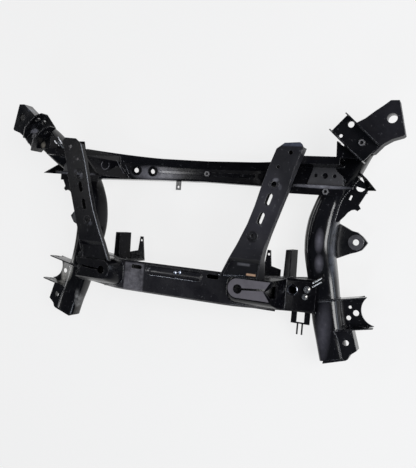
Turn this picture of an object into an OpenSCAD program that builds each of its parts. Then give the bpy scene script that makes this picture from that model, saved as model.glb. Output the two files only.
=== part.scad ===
// Rear suspension subframe: two crossmembers between bent tube rails, with horns, braces and link brackets.
// X points right, Y forward and Z up. The origin is on the floor, under the middle of the frame.

/* [Overall] */
// Distance between the two horn mounting holes
horn_span = 1060; // [1030:1:1080]
// Height of the horn mounting faces above the floor
horn_z = 235; // [230:1:242]
// Distance between the rail centre lines at their waist
rail_span = 718; // [700:1:730]
// Sheet thickness of the pressings
sheet = 3; // [2.5:0.1:4]

/* [Side rails] */
// Width of the rail tube at the waist
rail_w = 76; // [72:1:80]
// Height of the rail tube at the waist
rail_h = 86; // [82:1:90]
// Wall of the rail tube
rail_wall = 3; // [2.5:0.1:4.5]
// Height of the rail centre line above the floor
rail_z = 78; // [74:1:82]

/* [Front crossmember] */
// Place of the front crossmember centre line
front_y = 159; // [150:1:160]
// Width of the front crossmember in the middle
front_w = 61; // [54:1:64]
// Height of the front crossmember in the middle
front_h = 50; // [44:1:56]
// Rise of the front crossmember from its middle to the rails
front_rise = 80; // [70:1:86]
// Length of the bead along the front crossmember
bead_len = 310; // [240:1:316]
// Flanged hole in the front crossmember
front_hole_d = 15; // [10:0.5:18]

/* [Rear crossmember] */
// Place of the front wall of the rear crossmember
rear_y = -110; // [-116:1:-108]
// Width of the rear crossmember
rear_w = 84; // [74:1:86]
// Height of the top of the rear crossmember
rear_top_z = 196; // [188:1:202]
// Height of the underside of the rear crossmember in the middle
rear_bottom_z = 60; // [50:1:70]
// Length of the oval dish in the rear crossmember
dish_len = 170; // [140:1:180]
// Width of the oval dish in the rear crossmember
dish_w = 24; // [18:1:30]

/* [Braces] */
// Height of the brace faces
brace_z = 265; // [261:1:268]
// Depth of the brace side walls
brace_depth = 30; // [26:1:32]
// Half the distance between the brace centre lines, at the middle slot
brace_x = 262; // [258:1:266]
// Width of a brace slot
brace_slot_w = 13; // [9:0.5:16]
// Length of a brace slot
brace_slot_len = 30; // [22:1:34]

/* [Towers] */
// Height of the tower tops
tower_z = 238; // [232:1:242]
// Round hole of the keyhole
keyhole_d = 23; // [18:0.5:26]

/* [Mounting holes] */
// Hole in each horn plate
horn_bore = 22; // [16:0.5:26]
// Hole in each side ear
ear_bore = 16; // [12:0.5:20]
// Hole in each rear mount plate
rear_bore = 14; // [10:0.5:16]
// Bolt hole through the link bracket cheeks
link_bore = 14; // [10:0.5:16]
// Large hole in the middle of each gusset plate
gusset_bore = 14; // [10:0.5:16]

/* [Hidden] */
$fn = 40;
rail_x = rail_span / 2;
horn_x = horn_span / 2;
horn_y = 278;
brace_front = 217;
half_depth = 317;
paint = "#17171b";
paint_light = "#2c2c33";
cut = 1;

// Rail centre line from the rear end to the horn: place, width and height of the tube
rail_path = [
    [rail_x + 65, -304, rail_z + 10, rail_w - 4, rail_h - 32],
    [rail_x + 52, -258, rail_z + 9, rail_w - 4, rail_h - 31],
    [rail_x + 37, -204, rail_z + 4, rail_w - 2, rail_h - 29],
    [rail_x + 18, -112, rail_z - 2, rail_w, rail_h - 22],
    [rail_x + 3, -30, rail_z, rail_w, rail_h],
    [rail_x + 5, 30, rail_z, rail_w, rail_h],
    [rail_x + 15, 75, rail_z + 1, rail_w - 6, rail_h - 2],
    [rail_x + 29, 115, rail_z + 6, rail_w - 12, rail_h - 8],
    [rail_x + 50, 150, rail_z + 22, rail_w - 12, rail_h - 14],
    [horn_x - 94, 186, horn_z - 87, rail_w - 10, rail_h - 18],
    [horn_x - 66, 225, horn_z - 46, rail_w - 8, rail_h - 26],
    [horn_x - 30, 254, horn_z - 28, rail_w - 14, rail_h - 38]
];
rail_steps = 3;
rail_sides = 20;
rail_squareness = 0.62;

// General helpers
function smooth(t) = let (u = max(0, min(1, t))) u * u * (3 - 2 * u);
function unit(v) = v / norm(v);
function power_sign(v, e) = sign(v) * pow(abs(v), e);
function catmull(a, b, c, d, t) =
    0.5 * (2 * b + (c - a) * t + (2 * a - 5 * b + 4 * c - d) * t * t + (3 * b - a - 3 * c + d) * t * t * t);
function path_at(p, k) =
    let (last = len(p) - 1)
    let (i = min(floor(k), last - 1))
    catmull(p[max(i - 1, 0)], p[i], p[i + 1], p[min(i + 2, last)], k - i);
function place(p) = [p[0], p[1], p[2]];

// A line of sheet: its points and the same points moved by one thickness to the left
function side_normal(a, b) = let (d = unit(b - a)) [-d[1], d[0]];
function moved_point(p, i, t) =
    let (last = len(p) - 1)
    let (n0 = i > 0 ? side_normal(p[i - 1], p[i]) : side_normal(p[0], p[1]))
    let (n1 = i < last ? side_normal(p[i], p[i + 1]) : n0)
    p[i] + t * (n0 + n1) / (1 + n0 * n1);
function folded(p, t) = concat(p, [for (i = [len(p) - 1 : -1 : 0]) moved_point(p, i, t)]);

module both_ways(side) {
    if (side > 0)
        children();
    else
        mirror([1, 0, 0]) children();
}

// A profile in Y and Z drawn out along X, and one in X and Z drawn out along Y
module along_x(x0, x1) {
    translate([x0, 0, 0]) rotate([90, 0, 90]) linear_extrude(x1 - x0) children();
}
module along_y(y0, y1) {
    translate([0, y1, 0]) rotate([90, 0, 0]) linear_extrude(y1 - y0) children();
}
module flat(z0, z1) {
    translate([0, 0, z0]) linear_extrude(z1 - z0) children();
}

// A slot outline with round ends
module slot_shape(length, width) {
    run = length - width;
    square([run, width], center = true);
    for (side = [1, -1])
        translate([side * run / 2, 0]) circle(d = width);
}

// The end face of a ring, as a strip of triangles between its first half and its second half
function end_strip(n) =
    [for (i = [0 : n / 2 - 2]) for (k = [0, 1]) k == 0 ? [i, i + 1, n - 2 - i] : [i, n - 2 - i, n - 1 - i]];
function reversed(p) = [for (i = [len(p) - 1 : -1 : 0]) p[i]];

// A solid through a list of rings with equal, even point counts
module skin(rings) {
    n = len(rings[0]);
    m = len(rings);
    sides = [for (i = [0 : m - 2]) for (j = [0 : n - 1]) for (k = [0, 1])
        let (a = i * n + j)
        let (b = i * n + (j + 1) % n)
        k == 0 ? [a, b, b + n] : [a, b + n, a + n]];
    first = [for (t = end_strip(n)) reversed(t)];
    last = [for (t = end_strip(n)) [for (j = t) (m - 1) * n + j]];
    polyhedron([for (r = rings) for (p = r) p], concat(sides, first, last));
}

// A tube through outer and inner rings, open at both ends
module tube_skin(outer, inner) {
    n = len(outer[0]);
    m = len(outer);
    c = m * n;
    sides = [for (i = [0 : m - 2]) for (j = [0 : n - 1]) for (k = [0 : 3])
        let (a = i * n + j)
        let (b = i * n + (j + 1) % n)
        [[a, b, b + n], [a, b + n, a + n], [c + b, c + a, c + a + n], [c + b, c + a + n, c + b + n]][k]];
    ends = [for (j = [0 : n - 1]) for (k = [0 : 3])
        let (b = (j + 1) % n)
        let (e = (m - 1) * n)
        [[b, j, c + j], [b, c + j, c + b], [e + j, e + b, c + e + b], [e + j, c + e + b, c + e + j]][k]];
    polyhedron([for (r = concat(outer, inner)) for (p = r) p], concat(sides, ends));
}

// Rail tube
function rail_tangent(k) =
    unit(place(path_at(rail_path, min(k + 0.05, len(rail_path) - 1)))
        - place(path_at(rail_path, max(k - 0.05, 0))));
function rail_ring(k, shrink) =
    let (p = path_at(rail_path, k))
    let (t = rail_tangent(k))
    let (across = unit(cross(t, [0, 0, 1])))
    let (up = cross(across, t))
    [for (j = [0 : rail_sides - 1])
        let (a = 360 * (j + 0.5) / rail_sides)
        place(p)
            + across * (p[3] / 2 - shrink) * power_sign(cos(a), rail_squareness)
            + up * (p[4] / 2 - shrink) * power_sign(sin(a), rail_squareness)];
function rail_rings(k0, k1, shrink) =
    [for (i = [round(k0 * rail_steps) : round(k1 * rail_steps)]) rail_ring(i / rail_steps, shrink)];
rail_last = len(rail_path) - 1;

module rail_tube() {
    tube_skin(rail_rings(0, rail_last, 0), rail_rings(0, rail_last, rail_wall));
}
// The filled rail between two points of its path, which welded pieces are cut to
module rail_solid(k0 = 0, k1 = rail_last) {
    skin(rail_rings(k0, k1, 0));
}
module rails_solid(k0, k1) {
    for (side = [1, -1])
        both_ways(side) rail_solid(k0, k1);
}
module left_side_rail() {
    color(paint) both_ways(-1) rail_tube();
}
module right_side_rail() {
    color(paint) rail_tube();
}

// Front crossmember
front_flat = 150;
front_flare = 14;
front_bend = 5;
front_slope_w = 26;
front_slope_drop = 18;
front_end_x = rail_x + 12;
front_stations = concat(
    [for (i = [10 : -1 : 1]) -front_flat - (front_end_x - front_flat) * i / 10],
    [-front_flat, 0, front_flat],
    [for (i = [1 : 10]) front_flat + (front_end_x - front_flat) * i / 10]
);
function front_lift(x) = front_rise * pow(max(abs(x) - front_flat, 0) / (rail_x - front_flat), 1.5);
function front_widen(x) = front_flare * pow(abs(x) / rail_x, 2);
function front_back(x) = front_y - front_w / 2 - front_widen(x);
function front_fore(x) = front_y + front_w / 2 + front_widen(x);
function front_outline(x, inset, foot) =
    let (b = front_back(x) + inset)
    let (f = front_fore(x) - inset)
    let (t = front_h + front_lift(x) - inset)
    [[b, foot], [b, t - front_bend], [b + front_bend, t], [f - front_slope_w, t],
        [f, t - front_slope_drop], [f, foot]];
function front_channel(x) =
    let (foot = front_lift(x) + sheet)
    let (inner = front_outline(x, sheet, foot))
    concat(front_outline(x, 0, foot), reversed(inner));
function front_plate(x) =
    let (z = front_lift(x))
    [[front_back(x), z], [front_back(x), z + sheet], [front_fore(x), z + sheet], [front_fore(x), z]];
function front_block(x) = front_outline(x, 0, front_lift(x));
function at_x(x, profile) = [for (p = profile) [x, p[0], p[1]]];

module front_solid() {
    skin([for (x = front_stations) at_x(x, front_block(x))]);
}
bead_w = 9;
bead_h = 1.5;
bead_y = front_y - 8;
front_hole_x = [172, 222];
module front_crossmember() {
    color(paint) difference() {
        union() {
            skin([for (x = front_stations) at_x(x, front_channel(x))]);
            front_bead();
        }
        rails_solid(6, 9);
        for (side = [1, -1])
            for (x = front_hole_x)
                translate([side * x, bead_y, front_h - sheet - cut]) rotate([0, 0, 45])
                    cylinder(d = front_hole_d, h = front_lift(x) + 3 * sheet);
    }
}
// The long raised bead on the flat of the front crossmember
module front_bead() {
    translate([0, bead_y, 0]) flat(front_h - sheet / 2, front_h + bead_h) slot_shape(bead_len, bead_w);
}
module front_closing_plate() {
    color(paint) difference() {
        skin([for (x = front_stations) at_x(x, front_plate(x))]);
        rails_solid(6, 9);
    }
}

// Rear crossmember
rear_flat = 150;
rear_end_drop = 72;
rear_end_bottom = 22;
rear_split = 0.5;
rear_bend = 5;
rear_taper = 20;
rear_end_x = rail_x + 12;
rear_stations = concat(
    [for (i = [8 : -1 : 1]) -rear_flat - (rear_end_x - rear_flat) * i / 8],
    [-rear_flat, rear_flat],
    [for (i = [1 : 8]) rear_flat + (rear_end_x - rear_flat) * i / 8]
);
function rear_share(x) = smooth((abs(x) - rear_flat) / (rail_x - rear_flat));
function rear_top(x) = rear_top_z - rear_end_drop * rear_share(x);
function rear_under(x) = rear_bottom_z - (rear_bottom_z - rear_end_bottom) * rear_share(x);
function rear_seam(x) = rear_under(x) + rear_split * (rear_top(x) - rear_under(x));
function rear_narrow(x) = rear_taper * (1 - rear_share(x));
function rear_cap(x, inset) =
    let (f = rear_y - inset)
    let (b = rear_y - rear_w + inset)
    let (n = rear_narrow(x) / 2)
    let (t = rear_top(x) - inset)
    [[b + n, rear_seam(x)], [b, t - rear_bend], [b + rear_bend, t], [f - rear_bend, t],
        [f, t - rear_bend], [f - n, rear_seam(x)]];
function rear_cup(x, inset) =
    let (f = rear_y - inset)
    let (b = rear_y - rear_w + inset)
    let (n = rear_narrow(x))
    let (u = rear_under(x) + inset)
    [[f - n / 2, rear_seam(x)], [f - n, u + rear_bend], [f - n - rear_bend, u], [b + n + rear_bend, u],
        [b + n, u + rear_bend], [b + n / 2, rear_seam(x)]];
function rear_block(x) =
    let (cup = rear_cup(x, 0))
    concat(rear_cap(x, 0), [for (i = [1 : len(cup) - 2]) cup[i]]);

module rear_solid() {
    skin([for (x = rear_stations) at_x(x, rear_block(x))]);
}
seam_tab = [brace_x - 66, 72, 8];
dish_y = rear_y - rear_bend - sheet - dish_w / 2;
dish_depth = 9;
oval_x = 116;
oval_len = 34;
oval_w = 11;
oval_y = rear_y - 15;
collar_x = rail_x - 45;
collar_y = rear_y - 28;
collar_d = 30;
collar_bore = 20;
collar_h = 6;
module rear_crossmember() {
    color(paint) difference() {
        union() {
            skin([for (x = rear_stations) at_x(x, concat(rear_cap(x, 0), reversed(rear_cap(x, sheet))))]);
            translate([0, dish_y, 0])
                flat(rear_top_z - dish_depth - sheet, rear_top_z - sheet / 2)
                    slot_shape(dish_len + 2 * sheet, dish_w + 2 * sheet);
            for (side = [1, -1])
                both_ways(side) rear_seam_tab();
            for (side = [1, -1])
                rear_collar(side, collar_d, rear_top(collar_x) - 4 * sheet, rear_top(collar_x) + collar_h);
        }
        rails_solid(2, 5);
        for (side = [1, -1])
            rear_collar(side, collar_bore, rear_seam(collar_x), rear_top_z);
        translate([0, dish_y, 0])
            flat(rear_top_z - dish_depth, rear_top_z + cut) slot_shape(dish_len, dish_w);
        for (side = [1, -1])
            translate([side * oval_x, oval_y, 0])
                flat(rear_top_z - sheet - cut, rear_top_z + cut) slot_shape(oval_len, oval_w);
    }
}
// A short weld flange at the seam behind each tower
module rear_seam_tab() {
    z = rear_seam(seam_tab[0]);
    translate([seam_tab[0], rear_y - rear_w - seam_tab[2], z])
        cube([seam_tab[1], seam_tab[2] + rear_taper / 2, sheet]);
}
module rear_collar(side, d, z0, z1) {
    translate([side * collar_x, collar_y, z0]) cylinder(d = d, h = z1 - z0);
}
module rear_lower_pressing() {
    color(paint) difference() {
        skin([for (x = rear_stations) at_x(x, concat(rear_cup(x, 0), reversed(rear_cup(x, sheet))))]);
        rails_solid(2, 5);
    }
}

// Corner gussets: a riser from the front crossmember, a shelf under the brace and a trough over the rail
gusset_top = brace_z - brace_depth;
gusset_floor = 154;
gusset_fore = 190;
gusset_back = 124;
gusset_shelf_w = 18;
gusset_in = 288;
gusset_out = horn_x - 105;
gusset_lip = 12;
gusset_return = 20;
gusset_roll_d = 8;
gusset_roll_past = 21;
gusset_skirt = 50;
riser_foot_back = 228;
riser_foot_fore = 268;
riser_foot_mid = (riser_foot_back + 3 * riser_foot_fore) / 4;
riser_bend = 10;
riser_shelf = 4;
module gusset_trough() {
    along_x(gusset_in, gusset_out)
        polygon(folded([
            [gusset_fore, gusset_floor - gusset_skirt], [gusset_fore, gusset_top],
            [gusset_fore - gusset_shelf_w, gusset_top], [gusset_fore - gusset_shelf_w, gusset_floor],
            [gusset_back, gusset_floor], [gusset_back, gusset_floor + gusset_lip],
            [gusset_back - gusset_return, gusset_floor + gusset_lip]
        ], sheet));
}
// The sloping end that climbs from the front crossmember, with its foot cut on the skew
function riser_ring(y, foot, top, inset) =
    let (right = gusset_in + sheet + (inset > 0 ? cut : 0))
    let (low = front_h - inset)
    [[foot + inset, y, low], [foot + riser_bend + inset, y, front_h + 2 * riser_bend],
        [gusset_in - riser_shelf + inset, y, top - inset], [right, y, top - inset],
        [right, y, (top + low) / 2], [right, y, low]];
module riser_block(inset, past) {
    skin([riser_ring(gusset_fore + past, riser_foot_fore, gusset_top, inset),
        riser_ring(gusset_fore - gusset_shelf_w, riser_foot_mid, gusset_top, inset),
        riser_ring(gusset_back - past, riser_foot_back, gusset_floor + gusset_lip, inset)]);
}
module gusset_riser() {
    intersection() {
        difference() {
            riser_block(0, cut);
            riser_block(sheet, 2 * cut);
        }
        along_x(0, gusset_out)
            polygon([[gusset_back, 0], [gusset_fore, 0], [gusset_fore, brace_z], [gusset_back, brace_z]]);
    }
}
// The rolled edge along the back of the trough
module gusset_roll() {
    translate([gusset_in + 4 * sheet, gusset_back + sheet / 2, gusset_floor + gusset_lip - sheet])
        rotate([0, 90, 0]) rotate([0, 0, 45])
            cylinder(d = gusset_roll_d, h = gusset_out + gusset_roll_past - gusset_in - 4 * sheet);
}
// Flat tongues at shelf level: one under the nose of the brace, one that runs up to the horn bracket
tongue_y = brace_front - 2 * sheet;
tongue_in = horn_x - 114;
tongue_tip = [tongue_in - 2, 225];
tongue_w = 56;
nose_tongue = [brace_x + 74, brace_x + 68];
tongue_skirt = 32;
module gusset_tongues() {
    root = gusset_fore - sheet;
    flat(gusset_top - sheet, gusset_top) {
        polygon([[gusset_in, root], [gusset_in + 2 * sheet, tongue_y],
            [nose_tongue[0], tongue_y], [nose_tongue[1], root]]);
        polygon([[tongue_in, root], tongue_tip, [tongue_in + tongue_w, root]]);
    }
    flat(gusset_top - tongue_skirt, gusset_top)
        polygon(folded([[tongue_in, root], tongue_tip], -sheet));
}
module corner_gusset() {
    color(paint) difference() {
        union() {
            gusset_trough();
            gusset_riser();
            gusset_roll();
            gusset_tongues();
        }
        front_solid();
        horn_bracket_block();
        rail_solid(6, 10);
    }
}
module left_corner_gusset() {
    both_ways(-1) corner_gusset();
}
module right_corner_gusset() {
    corner_gusset();
}
gusset_plate_t = 5;
gusset_small_bore = 9;
gusset_hole_step = 23;
gusset_hole_x = rail_x + 17;
gusset_hole_y = 152;
gusset_plate_back = gusset_back + 2 * sheet;
gusset_plate_fore = gusset_fore - gusset_shelf_w;
module gusset_plate() {
    color(paint_light) difference() {
        flat(gusset_floor, gusset_floor + gusset_plate_t)
            polygon([[rail_x - 26, gusset_plate_back], [rail_x - 13, gusset_plate_fore],
                [rail_x + 50, gusset_plate_fore], [rail_x + 60, gusset_plate_fore - 12],
                [rail_x + 64, gusset_plate_back]]);
        for (i = [-1, 0, 1])
            translate([gusset_hole_x + i * gusset_hole_step, gusset_hole_y, gusset_floor - cut])
                cylinder(d = i == 0 ? gusset_bore : gusset_small_bore, h = gusset_plate_t + 2 * cut);
        rail_solid(6, 10);
    }
}
module left_gusset_plate() {
    both_ways(-1) gusset_plate();
}
module right_gusset_plate() {
    gusset_plate();
}

// Horn brackets: open channels across the horns, with skirts that reach down to the rail
bracket_turn = -42;
bracket_back = 52;
bracket_fore = 50;
bracket_w = 52;
bracket_h = 40;
bracket_skirt = 30;
bracket_corner = 14;
bracket_bolt_x = -28;
bracket_bolt_z = 22;
bracket_drain = [-30, 15, 14];
bracket_relief = [-28, -18, 8];
bracket_nut_x = 18;
bracket_x = horn_x - 75;
bracket_y = 232;
bracket_z = horn_z - 2;
module at_horn_bracket() {
    translate([bracket_x, bracket_y, bracket_z]) rotate([0, 0, bracket_turn]) children();
}
module horn_bracket_block() {
    at_horn_bracket()
        translate([-bracket_back, -bracket_w / 2, -bracket_skirt])
            cube([bracket_back + bracket_fore, bracket_w, bracket_h + bracket_skirt]);
}
module horn_bracket_cheek() {
    polygon([[-bracket_back, 0], [-bracket_back, bracket_h - bracket_corner],
        [-bracket_back + bracket_corner, bracket_h], [bracket_fore - bracket_h, bracket_h],
        [bracket_fore, bracket_corner], [bracket_fore, -bracket_skirt],
        [-bracket_skirt / 2, -bracket_skirt], [-bracket_skirt, 0]]);
}
module horn_bracket() {
    color(paint) difference() {
        at_horn_bracket() difference() {
            union() {
                translate([-bracket_back, -bracket_w / 2, 0])
                    cube([bracket_back + bracket_fore, bracket_w, sheet]);
                for (y = [-bracket_w / 2, bracket_w / 2 - sheet])
                    along_y(y, y + sheet) horn_bracket_cheek();
            }
            for (h = [bracket_drain, bracket_relief])
                translate([h[0], h[1], -cut]) cylinder(d = h[2], h = sheet + 2 * cut);
            translate([bracket_bolt_x, 0, bracket_bolt_z])
                rotate([90, 0, 0]) cylinder(d = link_bore, h = bracket_w + 2 * cut, center = true);
        }
        rail_solid(8, 11);
    }
}
module left_horn_bracket() {
    both_ways(-1) horn_bracket();
}
module right_horn_bracket() {
    horn_bracket();
}

// Horn plates
horn_skirt = 34;
horn_lip = 12;
horn_outline = [
    [horn_x - 6, half_depth], [horn_x + 12, half_depth], [horn_x + 30, 243], [horn_x + 26, 239],
    [horn_x + 4, 232], [horn_x - 14, 221], [horn_x - 32, 201], [horn_x - 44, 198],
    [horn_x - 86, 262], [horn_x - 58, 277], [horn_x - 38, 293], [horn_x - 20, 306]
];
function inset_point(p, i, t) =
    let (n = len(p))
    let (n0 = side_normal(p[(i + n - 1) % n], p[i]))
    let (n1 = side_normal(p[i], p[(i + 1) % n]))
    p[i] - t * (n0 + n1) / (1 + n0 * n1);
function inset(p, t) = [for (i = [0 : len(p) - 1]) inset_point(p, i, t)];
module horn_plate() {
    color(paint) difference() {
        flat(horn_z - horn_skirt, horn_z) polygon(horn_outline);
        difference() {
            flat(horn_z - horn_skirt - cut, horn_z - sheet) polygon(inset(horn_outline, sheet));
            translate([horn_x, horn_y, horn_z - horn_lip]) cylinder(d = horn_bore + 2 * sheet, h = horn_lip);
        }
        translate([horn_x, horn_y, horn_z - horn_lip - cut]) cylinder(d = horn_bore, h = horn_lip + 2 * cut);
        horn_bracket_block();
        rail_solid(8, 11);
    }
}
module left_horn_plate() {
    both_ways(-1) horn_plate();
}
module right_horn_plate() {
    horn_plate();
}

// Braces: flat channels whose face steps down between the side walls at the foot
tower_front = rear_y - 2;
brace_lip = 15;
brace_waist = 20;
foot_step_y = -62;
foot_step_w = 13;
foot_drop = brace_lip - sheet;
foot_flange_z = 200;
brace_inner = [[brace_x - 98, tower_front], [brace_x - 77, -65], [brace_x - 59, -30], [brace_x - 37, 20],
    [brace_x - 22, 65], [brace_x - 10, 110], [brace_x + 2, 150], [brace_x + 20, 201]];
brace_outer = [[brace_x - 4, tower_front], [brace_x + 8, -40], [brace_x + 26, 16], [brace_x + 47, 81],
    [brace_x + 56, 107], [brace_x + 66, 153], [brace_x + 84, 206]];
brace_nose = [[brace_x + 80, 213], [brace_x + 75, brace_front], [brace_x + 39, brace_front - 2]];
brace_outline = concat(brace_inner, reversed(brace_nose), reversed(brace_outer));
brace_face = [[brace_front + cut, brace_z], [foot_step_y, brace_z],
    [foot_step_y - foot_step_w, brace_z - foot_drop],
    [tower_front + sheet, brace_z - foot_drop], [tower_front + sheet, foot_flange_z]];
brace_inner_side = [[brace_front, brace_z - brace_lip], [brace_front, brace_z], [tower_front, brace_z],
    [tower_front, brace_z - brace_lip]];
brace_outer_side = [[brace_front, brace_z - brace_depth], [brace_front, brace_z], [foot_step_y, brace_z],
    [tower_front, brace_z - foot_drop], [tower_front, foot_flange_z],
    [foot_step_y - foot_step_w, brace_z - brace_depth - foot_drop], [foot_step_y, brace_z - brace_depth],
    [0, brace_z - brace_waist], [gusset_back, brace_z - brace_waist],
    [gusset_fore - 2 * gusset_shelf_w, brace_z - brace_depth]];
brace_round_holes = [[brace_x + 55, 193, 10], [brace_x + 28, 159, 9], [brace_x + 21, 118, 14]];
brace_dimple = [brace_x - 20, -7, 12];
brace_ringed = [brace_round_holes[2], brace_dimple];
brace_ring = 12;
brace_ring_h = 1.5;
brace_slots = [[brace_x + 11, 82], [brace_x - 4.5, 36]];
brace_slot_turn = 72;
module brace() {
    color(paint_light) difference() {
        union() {
            intersection() {
                flat(0, brace_z + cut) polygon(brace_outline);
                along_x(0, rail_span) polygon(folded(brace_face, sheet));
            }
            intersection() {
                flat(0, brace_z + cut) polygon(folded(brace_inner, -sheet));
                along_x(0, rail_span) polygon(brace_inner_side);
            }
            intersection() {
                flat(0, brace_z + cut) polygon(folded(brace_outer, sheet));
                along_x(0, rail_span) polygon(brace_outer_side);
            }
            for (h = brace_ringed)
                translate([h[0], h[1], brace_z - sheet / 2])
                    cylinder(d = h[2] + brace_ring, h = sheet / 2 + brace_ring_h);
        }
        for (h = brace_round_holes)
            translate([h[0], h[1], brace_z - sheet - cut]) cylinder(d = h[2], h = 2 * sheet + 2 * cut);
        translate([brace_dimple[0], brace_dimple[1], brace_z - sheet / 2])
            cylinder(d = brace_dimple[2], h = 2 * sheet);
        for (s = brace_slots)
            translate([s[0], s[1], 0]) rotate([0, 0, brace_slot_turn])
                flat(brace_z - sheet - cut, brace_z + cut) slot_shape(brace_slot_len, brace_slot_w);
    }
}
module left_brace() {
    both_ways(-1) brace();
}
module right_brace() {
    brace();
}

// Towers: boxes on the rear crossmember with a keyhole in the top
tower_in = brace_x - 114;
tower_out = brace_x + 36;
tower_back = rear_y - rear_w + 2;
tower_foot = 120;
tower_round = 24;
tower_lean = [30, 8, 26, 0];
tower_bend = 8;
tower_share = [0.35, 0.8];
keyhole_x = brace_x - 58;
keyhole_y = rear_y - 31;
keyslot_len = 70;
keyslot_turn = 4.5;
pad_h = 2;
keyslot_w = 5;
notch_depth = 16;
notch_half = 22;
notch_drop = 30;
// One level of the tower: inner end round, outer end square, drawn in by a share of the lean
function tower_ring(z, share, inset) =
    let (x0 = tower_in + inset + share * tower_lean[0])
    let (x1 = tower_out - inset - share * tower_lean[1])
    let (y0 = tower_back + inset + share * tower_lean[2])
    let (y1 = tower_front - inset - share * tower_lean[3])
    let (r = tower_round - inset)
    concat(
        [[x1, y0, z], [x1, y1, z]],
        [for (a = [90 : 22.5 : 180]) [x0 + r + r * cos(a), y1 - r + r * sin(a), z]],
        [for (a = [180 : 22.5 : 270]) [x0 + r + r * cos(a), y0 + r + r * sin(a), z]]
    );
module tower_shape(inset) {
    levels = [[tower_foot, 0], [rear_top_z, tower_share[0]],
        [tower_z - tower_bend, tower_share[1]], [tower_z, 1]];
    skin([for (e = levels) reversed(tower_ring(e[0] - inset, e[1], inset))]);
}
module tower() {
    color(paint_light) difference() {
        union() {
            difference() {
                tower_shape(0);
                tower_shape(sheet);
            }
            tower_pad();
        }
        rear_solid();
        below_rear_top();
        translate([keyhole_x, keyhole_y, tower_z - 3 * sheet]) cylinder(d = keyhole_d, h = 4 * sheet);
        translate([keyhole_x, keyhole_y, tower_z - 3 * sheet]) rotate([0, 0, keyslot_turn])
            translate([0, -keyslot_w / 2, 0]) cube([keyslot_len, keyslot_w, 4 * sheet]);
        flat(tower_z - notch_drop, tower_z + cut)
            polygon([[tower_out + cut, keyhole_y + notch_half],
                [tower_out - tower_lean[1] - notch_depth, keyhole_y],
                [tower_out + cut, keyhole_y - notch_half]]);
    }
}
// The raised pad on the tower top, round at the inner end and notched at the outer end
module tower_pad() {
    r = tower_round - sheet;
    x0 = tower_in + tower_lean[0] + sheet + r;
    x1 = tower_out - tower_lean[1] - sheet;
    y0 = tower_back + tower_lean[2] + sheet;
    y1 = tower_front - tower_lean[3] - sheet;
    flat(tower_z - sheet / 2, tower_z + pad_h) {
        translate([x0, (y0 + y1) / 2]) circle(r = (y1 - y0) / 2);
        polygon([[x0, y0], [x1, y0], [x1 - notch_depth, keyhole_y], [x1, y1], [x0, y1]]);
    }
}
// All that lies lower than the bend lines along the top of the rear crossmember
module below_rear_top() {
    along_y(rear_y - 2 * rear_w, rear_y + rear_w)
        polygon(concat([[rear_end_x, 0], [0, 0]],
            [for (x = rear_stations) if (x > 0) [x == rear_flat ? 0 : x, rear_top(x) - rear_bend]]));
}
module left_tower() {
    both_ways(-1) tower();
}
module right_tower() {
    tower();
}

// Front link brackets: a web out from the rail, two cheeks below it and a raised blade along its outer edge
front_link_z = 108;
front_link_depth = 44;
front_link_web = [[rail_x + 20, 42], [rail_x + 48, 42], [rail_x + 62, 57], [rail_x + 70, 68],
    [rail_x + 78, 74], [rail_x + 86, 76], [rail_x + 93, 73], [rail_x + 100, 80],
    [rail_x + 95, 88], [rail_x + 114, 124],
    [rail_x + 92, 165], [rail_x + 45, 165]];
front_link_bolt_x = rail_x + 82;
front_link_bolt_z = 84;
front_link_y = 100.5;
front_link_gap = 37;
front_link_tilt = 6.5;
front_link_root = 62;
front_link_reach = [30, 15];
front_link_nip = [24, 18];
web_slot_at = [rail_x + 97, 152];
web_slot_turn = -35;
web_slot = [17, 6];
web_arch_at = [rail_x + 96, 132];
web_arch_d = 22;
web_arch_foot = [rail_x + 82, 117];
web_arch_turn = -14;
web_arch = [32, 17];
web_notch_at = [rail_x + 74, 105];
web_notch_turn = -20;
web_notch = [5, 12];
blade_at = [rail_x + 92, 165];
blade_turn = -62;
blade_tilt = 68;
blade = [[0, 0], [46, 0], [58, 48], [60, 55], [22, 25]];
module front_link_bracket() {
    color(paint) difference() {
        union() {
            flat(front_link_z - sheet, front_link_z) polygon(front_link_web);
            intersection() {
                at_front_link() {
                    front_link_cheek(front_link_gap / 2, front_link_reach[0]);
                    front_link_cheek(-front_link_gap / 2 - sheet, front_link_reach[1]);
                }
                flat(0, front_link_z) translate([rail_x, 0]) square(horn_x - rail_x);
            }
            front_link_blade();
        }
        flat(front_link_z - sheet - cut, front_link_z + cut) front_link_holes();
        at_front_link() rotate([90, 0, 0])
            cylinder(d = link_bore, h = front_link_gap + 4 * sheet, center = true);
        rail_solid(5, 10);
    }
}
// A slot, a half-round hole and a short slot in the web
module front_link_holes() {
    translate(web_slot_at) rotate(web_slot_turn) square(web_slot, center = true);
    intersection() {
        translate(web_arch_at) circle(d = web_arch_d);
        translate(web_arch_foot) rotate(web_arch_turn) square(web_arch);
    }
    translate(web_notch_at) rotate(web_notch_turn) square(web_notch, center = true);
}
// The frame of the pivot bolt, tipped so that the bolt leaves to the rear and down
module at_front_link() {
    translate([front_link_bolt_x, front_link_y, front_link_bolt_z])
        rotate([front_link_tilt, 0, 0]) children();
}
module front_link_cheek(y, reach) {
    top = front_link_z - front_link_bolt_z;
    low = top - front_link_depth;
    along_y(y, y + sheet)
        polygon([[-front_link_root, low], [reach - front_link_nip[0], low], [reach, top - front_link_nip[1]],
            [reach, top + 2 * sheet], [-front_link_root, top + 2 * sheet]]);
}
module front_link_blade() {
    translate([blade_at[0], blade_at[1], front_link_z]) rotate([0, 0, blade_turn]) rotate([blade_tilt, 0, 0])
        translate([0, 0, -sheet]) linear_extrude(sheet) polygon(blade);
}
module left_front_link_bracket() {
    both_ways(-1) front_link_bracket();
}
module right_front_link_bracket() {
    front_link_bracket();
}

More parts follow.
